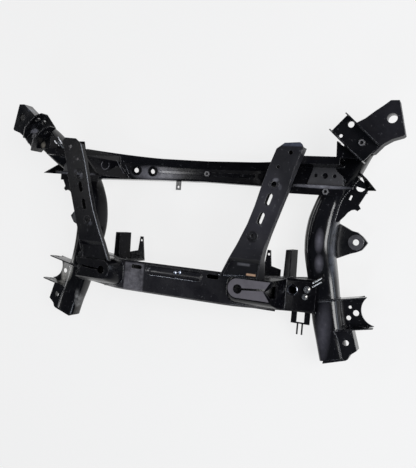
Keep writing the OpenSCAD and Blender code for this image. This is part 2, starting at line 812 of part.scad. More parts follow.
// Side ears
ear_z = 46;
ear_rim = 14;
ear_x = rail_x + 86;
ear_y = -6;
ear_boss = 40;
ear_boss_h = 2;
ear_outline = [[rail_x + 10, -62], [rail_x + 41, -52], [rail_x + 73, -37], [rail_x + 88, -32],
    [rail_x + 102, -25], [rail_x + 111, -12], [rail_x + 115, -5], [rail_x + 110, 1],
    [rail_x + 102, 10], [rail_x + 88, 20], [rail_x + 73, 23], [rail_x + 51, 34], [rail_x + 10, 52]];
module side_ear() {
    color(paint) difference() {
        union() {
            flat(ear_z - sheet, ear_z) polygon(ear_outline);
            flat(ear_z - ear_rim, ear_z) polygon(folded(ear_outline, sheet));
            translate([ear_x, ear_y, ear_z - cut]) cylinder(d = ear_boss, h = ear_boss_h + cut);
        }
        translate([ear_x, ear_y, ear_z - sheet - cut])
            cylinder(d = ear_bore, h = sheet + ear_boss_h + 2 * cut);
        rail_solid(3, 7);
    }
}
module left_side_ear() {
    both_ways(-1) side_ear();
}
module right_side_ear() {
    side_ear();
}

// Rear link brackets: a low web with lightening holes between two cheeks, with a round recess for the bush
rear_link_at = [rail_x + 30, -180];
rear_link_turn = 12;
rear_link_z = 66;
rear_link_top = 110;
rear_link_fore = 22;
rear_link_back = -57;
rear_link_root = -10;
rear_link_tip = [110, 116];
rear_link_web_short = [10, 3];
rear_link_nip = [22, 12];
rear_link_holes = [[60, -4, 8], [73, -20, 15], [53, -31, 12]];
rear_link_bolt = [97, 91];
recess_x = 127.5;
recess_r = 41;
module at_rear_link() {
    translate([rear_link_at[0], rear_link_at[1], 0]) rotate([0, 0, rear_link_turn]) children();
}
module rear_link_bracket() {
    color(paint) difference() {
        at_rear_link() rear_link_channel();
        rail_solid(1, 5);
    }
}
module rear_link_channel() {
    middle = (rear_link_fore + rear_link_back) / 2;
    difference() {
        union() {
            flat(rear_link_z - sheet, rear_link_z)
                polygon([[rear_link_root, rear_link_back],
                    [rear_link_tip[1] - rear_link_web_short[1], rear_link_back],
                    [rear_link_tip[0] - rear_link_web_short[0], rear_link_fore],
                    [rear_link_root, rear_link_fore]]);
            rear_link_cheek(rear_link_fore - sheet, rear_link_tip[0]);
            rear_link_cheek(rear_link_back, rear_link_tip[1]);
        }
        flat(rear_link_z - sheet - cut, rear_link_z + cut) {
            translate([recess_x, middle]) circle(r = recess_r);
            for (h = rear_link_holes)
                translate([h[0], h[1]]) circle(d = h[2]);
        }
        translate([rear_link_bolt[0], middle, rear_link_bolt[1]]) rotate([90, 0, 0])
            cylinder(d = link_bore, h = rear_link_fore - rear_link_back + 2 * cut, center = true);
    }
}
module rear_link_cheek(y, reach) {
    along_y(y, y + sheet)
        polygon([[rear_link_root, rear_link_z - sheet], [reach - rear_link_nip[0], rear_link_z - sheet],
            [reach, rear_link_top - rear_link_nip[1]], [reach, rear_link_top],
            [rear_link_root, rear_link_top]]);
}
module left_rear_link_bracket() {
    both_ways(-1) rear_link_bracket();
}
module right_rear_link_bracket() {
    rear_link_bracket();
}

// Rear mount plates at the rail ends
rear_mount_z = 112;
rear_mount_skirt = 34;
rear_hole_x = rail_x + 95;
rear_hole_y = -255;
rear_mount_outline = [[rail_x + 42, -half_depth], [rail_x + 98, -299], [rail_x + 103, -295],
    [rail_x + 107, -284], [rail_x + 123, -270], [rail_x + 102, -205], [rail_x + 42, -205]];
module rear_mount_plate() {
    color(paint) difference() {
        union() {
            flat(rear_mount_z - sheet, rear_mount_z) polygon(rear_mount_outline);
            flat(rear_mount_z - rear_mount_skirt, rear_mount_z) polygon(folded(rear_mount_outline, sheet));
        }
        translate([rear_hole_x, rear_hole_y, rear_mount_z - sheet - cut])
            cylinder(d = rear_bore, h = sheet + 2 * cut);
        at_rear_link() translate([-rail_w, rear_link_back, 0]) cube([3 * rail_w, rail_w, rear_mount_z + cut]);
        rail_solid(0, 3);
    }
}
module left_rear_mount_plate() {
    both_ways(-1) rear_mount_plate();
}
module right_rear_mount_plate() {
    rear_mount_plate();
}

// Arm clevises and pointed tabs on the front of the rear crossmember
clevis_in = rail_x - 95;
clevis_out = rail_x - 75;
clevis_tip = -43;
clevis_h = 62;
clevis_draft = 2;
module arm_clevis() {
    color(paint) difference() {
        flat(0, clevis_h)
            polygon(folded([[clevis_in, rear_y - rear_taper], [clevis_in + clevis_draft, clevis_tip],
                [clevis_out - clevis_draft, clevis_tip],
                [clevis_out, rear_y - rear_taper]], -sheet));
        rear_solid();
    }
}
module left_arm_clevis() {
    both_ways(-1) arm_clevis();
}
module right_arm_clevis() {
    arm_clevis();
}
tab_x = rail_x - 151;
tab_z = 26;
tab_tip = -50;
tab_foot = [16, 38];
tab_flare = [10, rear_y + 16, rear_y + 9];
tab_end_w = 10;
tab_slot_w = 7;
tab_slot_in = 12;
tab_leg_y = rear_y - 14;
tab_leg_top = 84;
module pointed_tab() {
    color(paint) difference() {
        intersection() {
            flat(tab_z - cut, tab_leg_top + cut)
                polygon([[tab_x - tab_foot[0], rear_y - rear_taper],
                    [tab_x + tab_foot[1], rear_y - rear_taper], [tab_x + tab_foot[1], tab_flare[2]],
                    [tab_x + tab_flare[0], tab_flare[1]],
                    [tab_x + tab_end_w / 2, tab_tip], [tab_x - tab_end_w / 2, tab_tip]]);
            along_x(tab_x - 2 * tab_foot[0], tab_x + 2 * tab_foot[1])
                polygon(folded([[tab_tip, tab_z], [tab_leg_y, tab_z], [tab_leg_y, tab_leg_top]], -sheet));
        }
        translate([tab_x, tab_tip - tab_slot_in, tab_z - cut]) cylinder(d = tab_slot_w, h = sheet + 2 * cut);
        rear_solid();
    }
}
module left_pointed_tab() {
    both_ways(-1) pointed_tab();
}
module right_pointed_tab() {
    pointed_tab();
}

// Small pieces
nut_x = 10;
gusset_nut_x = rail_x + 24;
gusset_nut_y = gusset_back - gusset_return / 2 - 1;
nut_d = 16;
nut_h = 7;
module weld_nuts() {
    color("silver") {
        nut([nut_x, bead_y, front_h + bead_h]);
        for (side = [1, -1])
            nut([side * gusset_nut_x, gusset_nut_y, gusset_floor + gusset_lip]);
        for (side = [1, -1])
            both_ways(side) at_horn_bracket() nut([bracket_nut_x, sheet, sheet]);
    }
}
module nut(p) {
    translate(p) difference() {
        cylinder(d = nut_d, h = nut_h, $fn = 6);
        translate([0, 0, -cut]) cylinder(d = nut_d / 2, h = nut_h + 2 * cut);
    }
}
hole_tab_x = -92;
hole_tab_z = 30;
hole_tab_w = 16;
hole_tab_len = 27;
hole_tab_in = 9;
hole_tab_bore = 8;
module hole_tab() {
    color(paint) difference() {
        translate([hole_tab_x - hole_tab_w / 2, front_back(hole_tab_x) - hole_tab_len, hole_tab_z])
            cube([hole_tab_w, hole_tab_len + cut, sheet]);
        translate([hole_tab_x, front_back(hole_tab_x) - hole_tab_len + hole_tab_in, hole_tab_z - cut])
            cylinder(d = hole_tab_bore, h = sheet + 2 * cut);
        front_solid();
    }
}
stud_x = [rail_x - 10, rail_x - 14];
stud_y = [rear_y - 24, rear_y - 43];
stud_d = [11, 9];
stud_h = 14;
stud_head = [18, 15];
stud_head_h = 5;
pin_d = 5;
pin_len = 27;
pin_turn = 34;
pin_x = rail_x + 2;
pin_y = rear_y - 6;
pin_gap = 10;
module bright_studs() {
    color("gainsboro") difference() {
        union() {
            for (i = [0, 1])
                translate([stud_x[i], stud_y[i], rear_top(stud_x[i])]) {
                    translate([0, 0, -stud_h]) cylinder(d = stud_head[i], h = stud_h + stud_head_h);
                    cylinder(d = stud_d[i], h = stud_h);
                }
            for (i = [0, 1])
                translate([pin_x, pin_y - i * pin_gap, rear_top(pin_x) + pin_d / 4]) rotate([0, 90, pin_turn])
                    cylinder(d = pin_d, h = pin_len);
        }
        rear_solid();
    }
}
harness_x = rail_x - 63;
harness_z = 60;
harness_tab = [15, 61];
harness_gap = 21;
harness_root = 6;
harness_bar = 4;
prong_w = 4;
prong_len = 90;
prong_x = harness_tab[0] + harness_bar / 2;
module harness_bracket() {
    color(paint) difference() {
        flat(harness_z, harness_z + sheet) translate([harness_x, rear_y - rear_w + rear_taper]) {
            translate([0, -harness_root]) square([2 * harness_tab[0] + harness_gap, harness_root]);
            for (side = [0, 1])
                translate([side * (harness_tab[0] + harness_gap), -harness_tab[1]]) square(harness_tab);
            translate([harness_tab[0] - cut, -harness_tab[1]]) square([harness_gap + 2 * cut, harness_bar]);
            for (side = [0, 1])
                translate([prong_x + side * (harness_gap - harness_bar - prong_w), -prong_len])
                    square([prong_w, prong_len - harness_tab[1] + harness_bar]);
        }
        rear_solid();
    }
}

left_side_rail();
right_side_rail();
front_crossmember();
front_closing_plate();
rear_crossmember();
rear_lower_pressing();
left_corner_gusset();
right_corner_gusset();
left_gusset_plate();
right_gusset_plate();
left_horn_plate();
right_horn_plate();
left_horn_bracket();
right_horn_bracket();
left_brace();
right_brace();
left_tower();
right_tower();
left_front_link_bracket();
right_front_link_bracket();
left_side_ear();
right_side_ear();
left_rear_link_bracket();
right_rear_link_bracket();
left_rear_mount_plate();
right_rear_mount_plate();
left_arm_clevis();
right_arm_clevis();
left_pointed_tab();
right_pointed_tab();
weld_nuts();
hole_tab();
bright_studs();
harness_bracket();
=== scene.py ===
"""Looks of the subframe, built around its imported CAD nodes. MM scales millimetres; the stage is in metres."""
import math

import bmesh
import bpy
from mathutils import Matrix, Vector
from mathutils.bvhtree import BVHTree


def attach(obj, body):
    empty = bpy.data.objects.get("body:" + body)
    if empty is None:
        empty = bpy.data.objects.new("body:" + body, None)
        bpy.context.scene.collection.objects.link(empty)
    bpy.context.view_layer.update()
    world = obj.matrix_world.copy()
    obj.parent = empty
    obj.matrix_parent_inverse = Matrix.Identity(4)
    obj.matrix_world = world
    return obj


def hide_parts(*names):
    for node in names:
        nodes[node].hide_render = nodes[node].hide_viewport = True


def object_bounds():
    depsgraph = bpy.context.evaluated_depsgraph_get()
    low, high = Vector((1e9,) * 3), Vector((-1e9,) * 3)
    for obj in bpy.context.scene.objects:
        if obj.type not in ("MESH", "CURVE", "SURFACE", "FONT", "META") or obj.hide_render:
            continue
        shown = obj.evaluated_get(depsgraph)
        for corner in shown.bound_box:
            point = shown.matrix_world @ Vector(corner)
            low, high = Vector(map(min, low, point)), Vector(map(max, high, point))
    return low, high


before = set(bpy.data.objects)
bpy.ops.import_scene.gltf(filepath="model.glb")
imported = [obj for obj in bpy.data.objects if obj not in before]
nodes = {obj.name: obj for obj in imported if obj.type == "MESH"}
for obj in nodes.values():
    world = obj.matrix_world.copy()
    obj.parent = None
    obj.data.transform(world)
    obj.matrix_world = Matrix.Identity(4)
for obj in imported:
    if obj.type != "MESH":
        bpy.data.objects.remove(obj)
cad_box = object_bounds()
scene = bpy.context.scene
MM = 0.001
# points nearer than this are one
MERGE = 0.01 * MM
# right and left, as signs of x
SIDES = (1, -1)


# Shader building blocks

def new_material(name):
    """A new material, empty apart from its shader and output."""
    mat = bpy.data.materials.new(name)
    mat.use_nodes = True
    tree = mat.node_tree
    tree.nodes.clear()
    out = tree.nodes.new("ShaderNodeOutputMaterial")
    shader = tree.nodes.new("ShaderNodeBsdfPrincipled")
    tree.links.new(shader.outputs["BSDF"], out.inputs["Surface"])
    return mat, tree, shader


def noise(tree, place, scale, detail, rough):
    """A noise over the object's own coordinates."""
    tex = tree.nodes.new("ShaderNodeTexNoise")
    tex.inputs["Scale"].default_value = scale
    tex.inputs["Detail"].default_value = detail
    tex.inputs["Roughness"].default_value = rough
    tree.links.new(place.outputs["Object"], tex.inputs["Vector"])
    return tex.outputs["Fac"]


def ramp(tree, value, low, high, out_low=0.0, out_high=1.0):
    """A value taken from one range to another, and held at the ends."""
    node = tree.nodes.new("ShaderNodeMapRange")
    node.inputs["From Min"].default_value = low
    node.inputs["From Max"].default_value = high
    node.inputs["To Min"].default_value = out_low
    node.inputs["To Max"].default_value = out_high
    tree.links.new(value, node.inputs["Value"])
    return node.outputs["Result"]


def cloudy(tree, place, kind, out_low=0.0, out_high=1.0):
    """A noise that is stretched between two of its values."""
    scale, detail, rough, low, high = kind
    return ramp(tree, noise(tree, place, scale, detail, rough), low, high, out_low, out_high)


def joined(tree, operation, a, b):
    """Two values put together by a math node."""
    node = tree.nodes.new("ShaderNodeMath")
    node.operation = operation
    tree.links.new(a, node.inputs[0])
    tree.links.new(b, node.inputs[1])
    return node.outputs["Value"]


def times(tree, a, b):
    return joined(tree, "MULTIPLY", a, b)


def larger(tree, a, b):
    return joined(tree, "MAXIMUM", a, b)


def coordinate(tree, vector, axis):
    """One axis of a vector."""
    split = tree.nodes.new("ShaderNodeSeparateXYZ")
    tree.links.new(vector, split.inputs["Vector"])
    return split.outputs[axis]


def blend(tree, share, first, second):
    """Mix two colours; each is a plain colour or a socket."""
    node = tree.nodes.new("ShaderNodeMix")
    node.data_type = "RGBA"
    tree.links.new(share, node.inputs["Factor"])
    for key, value in (("A", first), ("B", second)):
        socket = [s for s in node.inputs if s.name == key and s.type == "RGBA"][0]
        if isinstance(value, tuple):
            socket.default_value = value + (1.0,)
        else:
            tree.links.new(value, socket)
    return [s for s in node.outputs if s.type == "RGBA"][0]


def ripple(tree, place, shader, kind, strength, height, under=None):
    """A fine bump on the shader, over another normal if one is given."""
    bump = tree.nodes.new("ShaderNodeBump")
    bump.inputs["Strength"].default_value = strength
    bump.inputs["Distance"].default_value = height * MM
    tree.links.new(noise(tree, place, *kind), bump.inputs["Height"])
    if under is not None:
        tree.links.new(under, bump.inputs["Normal"])
    tree.links.new(bump.outputs["Normal"], shader.inputs["Normal"])


# Masks: each maker returns a function that lays the mask into a material

TOP_SOFT = 0.2


def patch(centre, reach, soft):
    """An ellipsoid round a point of the object, with a soft edge."""
    def mask(tree, place):
        move = tree.nodes.new("ShaderNodeMapping")
        move.inputs["Scale"].default_value = [1 / (r * MM) for r in reach]
        move.inputs["Location"].default_value = [-c / r for c, r in zip(centre, reach)]
        tree.links.new(place.outputs["Object"], move.inputs["Vector"])
        size = tree.nodes.new("ShaderNodeVectorMath")
        size.operation = "LENGTH"
        tree.links.new(move.outputs["Vector"], size.inputs[0])
        return ramp(tree, size.outputs["Value"], 1.0, 1.0 - soft)
    return mask


def top_of(z):
    """All that lies higher than z."""
    def mask(tree, place):
        at = coordinate(tree, place.outputs["Object"], "Z")
        return ramp(tree, at, (z - TOP_SOFT) * MM, (z + TOP_SOFT) * MM)
    return mask


def between(axis, low, high, soft):
    """All that lies between two places along an axis."""
    def mask(tree, place):
        at = coordinate(tree, place.outputs["Object"], axis)
        rise = ramp(tree, at, (low - soft) * MM, (low + soft) * MM)
        return times(tree, rise, ramp(tree, at, (high + soft) * MM, (high - soft) * MM))
    return mask


def both(one, two):
    return lambda tree, place: times(tree, one(tree, place), two(tree, place))


def either(one, two):
    return lambda tree, place: larger(tree, one(tree, place), two(tree, place))


def block(low, high, soft):
    """A box from one corner (x, y) to the other, whatever the height."""
    return both(between("X", low[0], high[0], soft), between("Y", low[1], high[1], soft))


# Materials

# noises of the paint: scale, detail, roughness, and the two values that the noise is stretched between
DRIFT = (9.0, 4.0, 0.55, 0.35, 0.70)
CLOUD = (34.0, 6.0, 0.65, 0.42, 0.72)
GRAIN = (55.0, 5.0, 0.65, 0.62, 0.40)
SPECKS = (130.0, 2.0, 0.60, 0.66, 0.74)
EDGE_WEAR_AND_GLINT_NOISE = (70.0, 5.0, 0.70, 0.45, 0.62)
SMEAR = (22.0, 6.0, 0.60, 0.30, 0.75)
RIPPLE = (150.0, 3.0, 0.55)
RIPPLE_STRENGTH, RIPPLE_HEIGHT = 0.10, 0.5
DUST_TONE = (0.16, 0.155, 0.15)
SPECK_TONE = (0.085, 0.085, 0.092)
EDGE_WEAR_AND_GLINT_TONE = (0.085, 0.083, 0.090)
SPECK_SHARE = 0.55
# dust gathers as the normal's z rises, and edges are lightened, as wear and as painted highlight, as the
# rounded normal parts from the true one
UPWARD = (0.3, 0.95)
BENT = (0.985, 0.80)
EDGE_REACH, EDGE_SAMPLES = 2.2, 6
# how far the smears take the roughness down and up
SMOOTHER, ROUGHER = 0.06, 0.09
COAT_SHARE, COAT_ROUGHNESS = 0.25, 0.12
DULLED_SHINE = 0.05

# noises of the metals
STEEL_DRIFT = (160.0, 4.0, 0.55)
STEEL_SMEAR = (240.0, 3.0, 0.55, 0.3, 0.7)
STEEL_ROUGHNESS = (0.18, 0.36)
STEEL_RIPPLE = (700.0, 2.0, 0.55)
STEEL_RIPPLE_STRENGTH, STEEL_RIPPLE_HEIGHT = 0.15, 0.2


def paint(name, dark, light, dust, gloss, shine, marks=(), calm=None):
    """Black paint on pressed steel: drifting tone, dust on top, specks, edges lightened as wear and as painted
    highlight, and a fine ripple.

    Each mark is a mask, the colour that it lays on and how much the noise breaks it up. Gloss is the
    roughness. The mask of calm, if there is one, is where the paint has gone dull.
    """
    mat, tree, shader = new_material(name)
    place = tree.nodes.new("ShaderNodeTexCoord")
    shape = tree.nodes.new("ShaderNodeNewGeometry")
    edge = tree.nodes.new("ShaderNodeBevel")
    edge.samples = EDGE_SAMPLES
    edge.inputs["Radius"].default_value = EDGE_REACH * MM
    tone = blend(tree, cloudy(tree, place, DRIFT), dark, light)
    upward = ramp(tree, coordinate(tree, shape.outputs["Normal"], "Z"), *UPWARD)
    tone = blend(tree, times(tree, upward, cloudy(tree, place, CLOUD, 0.0, dust)), tone, DUST_TONE)
    for mask, colour, broken in marks:
        grain = cloudy(tree, place, GRAIN, 1.0 - broken, 1.0)
        tone = blend(tree, times(tree, mask(tree, place), grain), tone, colour)
    tone = blend(tree, cloudy(tree, place, SPECKS, 0.0, SPECK_SHARE), tone, SPECK_TONE)
    turn = tree.nodes.new("ShaderNodeVectorMath")
    turn.operation = "DOT_PRODUCT"
    tree.links.new(edge.outputs["Normal"], turn.inputs[0])
    tree.links.new(shape.outputs["Normal"], turn.inputs[1])
    # edges lighter where the rounded normal parts from the true one: wear and painted highlight
    edge_wear_and_glint = times(tree, ramp(tree, turn.outputs["Value"], *BENT), cloudy(tree, place, EDGE_WEAR_AND_GLINT_NOISE))
    tone = blend(tree, edge_wear_and_glint, tone, EDGE_WEAR_AND_GLINT_TONE)
    tree.links.new(tone, shader.inputs["Base Color"])
    smear = cloudy(tree, place, SMEAR, gloss - SMOOTHER, gloss + ROUGHER)
    tree.links.new(smear, shader.inputs["Roughness"])
    ripple(tree, place, shader, RIPPLE, RIPPLE_STRENGTH, RIPPLE_HEIGHT, edge.outputs["Normal"])
    coat = COAT_SHARE * shine
    shader.inputs["Specular IOR Level"].default_value = shine
    shader.inputs["Coat Weight"].default_value = coat
    shader.inputs["Coat Roughness"].default_value = COAT_ROUGHNESS
    if calm:
        dull = calm(tree, place)
        tree.links.new(ramp(tree, dull, 0.0, 1.0, shine, DULLED_SHINE), shader.inputs["Specular IOR Level"])
        tree.links.new(ramp(tree, dull, 0.0, 1.0, coat, 0.0), shader.inputs["Coat Weight"])
    return mat


def steel(name, dull, bright):
    """Bare or plated metal with a fine grain."""
    mat, tree, shader = new_material(name)
    place = tree.nodes.new("ShaderNodeTexCoord")
    tone = blend(tree, noise(tree, place, *STEEL_DRIFT), dull, bright)
    tree.links.new(tone, shader.inputs["Base Color"])
    tree.links.new(cloudy(tree, place, STEEL_SMEAR, *STEEL_ROUGHNESS), shader.inputs["Roughness"])
    shader.inputs["Metallic"].default_value = 1.0
    ripple(tree, place, shader, STEEL_RIPPLE, STEEL_RIPPLE_STRENGTH, STEEL_RIPPLE_HEIGHT)
    return mat


# Tones, and the places where paint has gone dull

DEEP = ((0.0018, 0.0018, 0.0025), (0.0048, 0.0048, 0.0064))
# a lighter copy of the black tones: painted light on the right brace and the right horn plate
LIT_SOFT_TONES = ((0.0080, 0.0080, 0.0100), (0.0180, 0.0177, 0.0220))
# painted shade: the dark inside of holes and dimples
HOLE_SHADE = (0.0006, 0.0006, 0.0008)
RING = (0.0012, 0.0012, 0.0016)
# lighter tone of the right tower's pad: a painted reflection
PAD_REFLECTION = (0.125, 0.118, 0.132)
CHALK = (0.34, 0.33, 0.31)
# painted light: pale spots on shadowed faces, seen through the holes of the left brace
PINK_LIGHT_SPOT = (0.42, 0.38, 0.38)
TAN = (0.42, 0.27, 0.18)
# painted highlights on the right rail
RAIL_HIGHLIGHT = (0.075, 0.073, 0.088)
PAINTED_SHEEN = (0.125, 0.120, 0.142)
# painted highlight along the rolled gusset edges
ROLL_HIGHLIGHT = (0.190, 0.190, 0.215)
DUST, SHINE = 0.015, 0.5
REAR_END = block((270, -260), (420, -60), 14)
RIGHT_HORN = block((430, 150), (570, 330), 10)
RIGHT_BEND = block((395, 120), (560, 320), 15)
LEFT_WAIST = block((-600, -140), (-300, 120), 30)
FRONT_RIGHT = block((-60, 60), (330, 260), 60)

BLACK = paint("black_paint", *DEEP, DUST, 0.18, SHINE)
# satin paint, lighter than the black as painted light, with marks of painted light and shade
SATIN_LIT = paint("satin_lit_paint", *LIT_SOFT_TONES, 0.035, 0.32, 0.35, [
    # the right brace: its lit middle, painted shade on its foot, a tan strip, and a painted highlight on the
    # land pressed in the foot
    (patch((268, 62, 263), (60, 105, 60), 0.8), (0.030, 0.029, 0.036), 0.3),
    (block((150, -114), (262, -64), 2), (0.0050, 0.0050, 0.0064), 0.2),
    (block((229, -103.5), (253, -98.5), 1.2), TAN, 0.3),
    (block((204, -81), (236, -75), 2), (0.085, 0.085, 0.095), 0.4),
    # its dimple in painted shade, with a painted highlight ring and a painted dark centre, two lit spots beside
    # its ringed hole, and a painted highlight on its front edge
    (patch((241, -9, 263), (15, 15, 30), 0.25), (0.0022, 0.0023, 0.0030), 0.1),
    (patch((239.5, -6.5, 263), (9.5, 9.5, 30), 0.5), (0.016, 0.016, 0.019), 0.1),
    (patch((239, -6, 263), (5.2, 5.2, 30), 0.3), HOLE_SHADE, 0.1),
    (patch((287, 128, 265), (9, 6, 30), 0.6), (0.14, 0.14, 0.16), 0.4),
    (patch((299, 112, 265), (5, 9, 30), 0.5), (0.055, 0.055, 0.065), 0.3),
    (block((296, 207.5), (345, 216), 1.5), (0.050, 0.055, 0.078), 0.5),
], calm=RIGHT_HORN)
PLATE = paint("grey_plate", (0.028, 0.028, 0.031), (0.050, 0.049, 0.054), 0.10, 0.38, 0.4, [
    # a painted light spot, seen through the second hole of the left brace
    (patch((-374, 168, 159), (10, 10, 10), 0.5), PINK_LIGHT_SPOT, 0.2),
])
# the pad on top of the right tower is painted lighter: a painted reflection
TOWER = paint("tower_paint", *DEEP, DUST, 0.24, 0.02, [(top_of(239.2), PAD_REFLECTION, 0.15)])
# the ears are painted lighter on top: a painted highlight
EAR = paint("ear_paint", *DEEP, 0.04, 0.24, SHINE, [(top_of(46.8), (0.080, 0.078, 0.084), 0.4)])
REAR = paint("rear_paint", (0.0065, 0.0062, 0.0080), (0.0150, 0.0145, 0.0180), 0.05, 0.26, SHINE, [
    # a painted reflection on the panel on the left, and painted shade on the right end
    (block((-153, -260), (-92, -116), 3), (0.150, 0.145, 0.160), 0.65),
    (REAR_END, (0.0030, 0.0029, 0.0038), 0.2),
], calm=REAR_END)
FRONT = paint("front_paint", *DEEP, DUST, 0.18, SHINE, [
    # the lit ledge, and dark rings round the flanged holes
    (patch((-156, 144, 58), (98, 27, 34), 0.55), (0.165, 0.162, 0.182), 0.30),
    (patch((-222, 151, 66), (17, 17, 30), 0.12), RING, 0.1),
    (patch((-172, 151, 53), (17, 17, 30), 0.12), RING, 0.1),
], calm=FRONT_RIGHT)
HORN = paint("horn_paint", *DEEP, DUST, 0.20, SHINE, [
    # the left horn: a lit edge and a painted bluish highlight on a corner
    (patch((-478, 238, 236), (20, 9, 9), 0.5), (0.22, 0.22, 0.25), 0.5),
    (patch((-503, 301, 222), (13, 12, 16), 0.5), (0.090, 0.100, 0.130), 0.6),
])
MATT = paint("matt_paint", *DEEP, DUST, 0.28, 0.22, [
    # the left brace: a painted light spot seen through its first hole, a painted highlight and painted shade on
    # its dimple, and painted highlights and painted shade round its ringed hole
    (patch((-339, 194.5, 237), (8, 8, 9), 0.5), PINK_LIGHT_SPOT, 0.2),
    (patch((-230, -15, 263), (8, 8, 30), 0.6), (0.045, 0.045, 0.053), 0.2),
    (patch((-240, -7, 263), (10, 10, 30), 0.4), HOLE_SHADE, 0.1),
    (patch((-272, 113, 265), (6, 11, 30), 0.6), (0.060, 0.060, 0.070), 0.2),
    (patch((-293, 125, 265), (7, 6, 30), 0.6), (0.035, 0.035, 0.042), 0.2),
    (patch((-283, 118, 265), (8, 8, 30), 0.4), HOLE_SHADE, 0.1),
])
DULL = paint("dull_paint", *DEEP, DUST, 0.45, 0.04)
# near black and without shine: painted shade on the lips inside the brace slots
PIT = paint("shaded_paint", HOLE_SHADE, (0.0016, 0.0016, 0.0020), 0.0, 0.5, 0.01)
RAIL = paint("rail_paint", *DEEP, DUST, 0.18, 0.38, [
    # the right rail: a painted bluish reflection on its outer side, painted sheen on its top, and a painted
    # highlight band towards its rear end
    (patch((404, -25, 98), (16, 100, 32), 0.7), (0.055, 0.062, 0.080), 0.7),
    (patch((367, -8, 121), (13, 36, 20), 0.95), PAINTED_SHEEN, 0.3),
    (patch((370, -66, 116), (13, 28, 20), 0.95), PAINTED_SHEEN, 0.3),
    (patch((394, -242, 112), (24, 95, 26), 0.95), RAIL_HIGHLIGHT, 0.3),
    # the left rail: chalk beside the link bracket, and painted highlight streaks at its end
    (patch((-414, -160, 100), (18, 55, 26), 0.5), CHALK, 0.5),
    (patch((-378, -262, 102), (9, 40, 30), 0.6), (0.20, 0.20, 0.20), 0.8),
    (patch((-452, -300, 100), (26, 22, 30), 0.5), (0.10, 0.10, 0.10), 0.8),
], calm=either(LEFT_WAIST, RIGHT_BEND))
LINK = paint("link_paint", *DEEP, DUST, 0.20, SHINE, [
    # chalk on the left bracket
    (patch((-456, -190, 70), (26, 60, 34), 0.4), (0.44, 0.43, 0.41), 0.4),
])
GUSSET = paint("gusset_paint", *DEEP, DUST, 0.24, 0.12, [
    # painted highlights along the rolled edges, and a brownish corner on the left
    (patch((370, 125, 165), (84, 6, 7), 0.6), ROLL_HIGHLIGHT, 0.5),
    (patch((-370, 125, 165), (84, 6, 7), 0.6), ROLL_HIGHLIGHT, 0.5),
    (patch((-441, 199, 235), (10, 12, 9), 0.5), (0.22, 0.20, 0.17), 0.6),
])
NUT = paint("nut_zinc", (0.085, 0.085, 0.092), (0.190, 0.186, 0.190), 0.05, 0.28, SHINE)
WELD = paint("weld_paint", (0.008, 0.008, 0.010), (0.024, 0.024, 0.028), 0.08, 0.24, SHINE)
# a pale paint for painted highlight strokes beside the left horn
HORN_GLINT = paint("horn_glint_paint", (0.72, 0.73, 0.76), (0.90, 0.90, 0.93), 0.05, 0.35, SHINE)
# lighter than the black: painted highlight on the pressed ribs
RIB_GLINT = paint("rib_glint_paint", (0.035, 0.035, 0.042), (0.070, 0.069, 0.080), 0.08, 0.26, SHINE)
BRIGHT = steel("bright_steel", (0.62, 0.61, 0.59), (0.80, 0.79, 0.77))
ZINC = steel("blue_zinc", (0.50, 0.54, 0.66), (0.72, 0.77, 0.90))
# bright metal for painted highlights along folds and rims
EDGE = steel("fold_glint_steel", (0.34, 0.36, 0.41), (0.60, 0.62, 0.68))


# Smooth shading for every CAD node and piece, with the folds kept sharp

SHARP_FROM = math.radians(27)


def shade_group():
    """Geometry nodes that join doubled points and shade smooth, apart from sharp edges."""
    group = bpy.data.node_groups.new("smooth_by_angle", "GeometryNodeTree")
    group.interface.new_socket("Geometry", in_out="INPUT", socket_type="NodeSocketGeometry")
    group.interface.new_socket("Geometry", in_out="OUTPUT", socket_type="NodeSocketGeometry")
    add = group.nodes.new
    start, end = add("NodeGroupInput"), add("NodeGroupOutput")
    merge = add("GeometryNodeMergeByDistance")
    merge.inputs["Distance"].default_value = MERGE
    faces = add("GeometryNodeSetShadeSmooth")
    faces.domain = "FACE"
    edges = add("GeometryNodeSetShadeSmooth")
    edges.domain = "EDGE"
    edges.inputs["Shade Smooth"].default_value = False
    angle = add("GeometryNodeInputMeshEdgeAngle")
    sharp = add("FunctionNodeCompare")
    sharp.data_type = "FLOAT"
    sharp.operation = "GREATER_THAN"
    sharp.inputs["B"].default_value = SHARP_FROM
    link = group.links.new
    link(start.outputs["Geometry"], merge.inputs["Geometry"])
    link(merge.outputs["Geometry"], faces.inputs["Geometry"])
    link(faces.outputs["Geometry"], edges.inputs["Geometry"])
    link(angle.outputs["Unsigned Angle"], sharp.inputs["A"])
    link(sharp.outputs["Result"], edges.inputs["Selection"])
    link(edges.outputs["Geometry"], end.inputs["Geometry"])
    return group


SHADE = shade_group()


def smooth(obj):
    """Shade an object by angle, whatever normals its mesh came with."""
    for name in ("custom_normal", "sharp_face"):
        if name in obj.data.attributes:
            obj.data.attributes.remove(obj.data.attributes[name])
    obj.modifiers.new("smooth_by_angle", "NODES").node_group = SHADE


# the nodes that aren't in plain black paint
FINISH = {
    "bright_studs": BRIGHT, "weld_nuts": NUT,
    "right_corner_gusset": GUSSET, "left_corner_gusset": GUSSET, "left_rear_link_bracket": LINK,
    "right_brace": SATIN_LIT, "right_horn_plate": SATIN_LIT,
    "right_gusset_plate": PLATE, "left_gusset_plate": PLATE,
    "right_tower": TOWER,
    "right_side_ear": EAR, "left_side_ear": EAR,
    "rear_crossmember": REAR, "rear_lower_pressing": REAR,
    "front_crossmember": FRONT, "left_horn_bracket": HORN, "left_horn_plate": HORN,
    "left_tower": MATT, "left_arm_clevis": DULL, "right_arm_clevis": DULL, "left_brace": MATT,
}
for node_name, node in nodes.items():
    smooth(node)
    node.data.materials.clear()
    node.data.materials.append(FINISH.get(node_name, BLACK))


# Pieces

